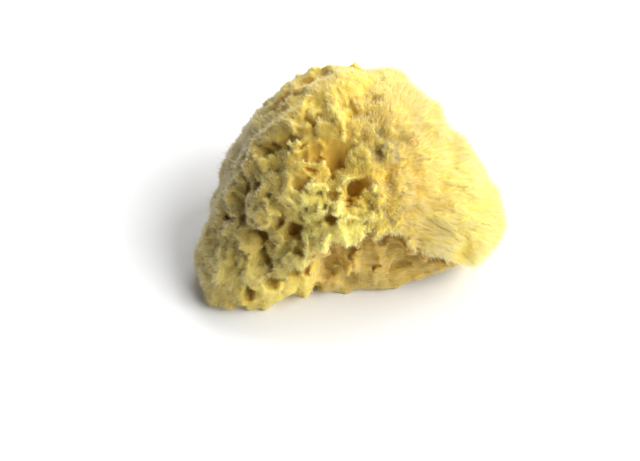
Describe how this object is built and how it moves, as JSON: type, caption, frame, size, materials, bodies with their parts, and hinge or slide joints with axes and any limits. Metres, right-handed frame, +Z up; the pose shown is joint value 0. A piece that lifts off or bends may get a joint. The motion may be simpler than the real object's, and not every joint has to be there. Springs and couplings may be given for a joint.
{
  "type": "natural sea sponge",
  "caption": "Pale yellow natural bath sponge: a lopsided dome of porous fibre with ragged pores, a soft brush-like cheek and a flat cut base that it rests on.",
  "frame": {"origin": "on the flat cut base, under the middle of the sponge's box", "axes": "+Z up, out of the cut; +X along the sponge's longest side, towards the soft cheek; +Y to its back, away from the honeycomb front"},
  "size_m": [0.1352, 0.0954, 0.0895],
  "materials": {
    "sponge_fibre": "matte, soft horny fibre"
  },
  "bodies": {
    "root": {"sponge": "sponge_fibre"}
  },
  "joints": []
}
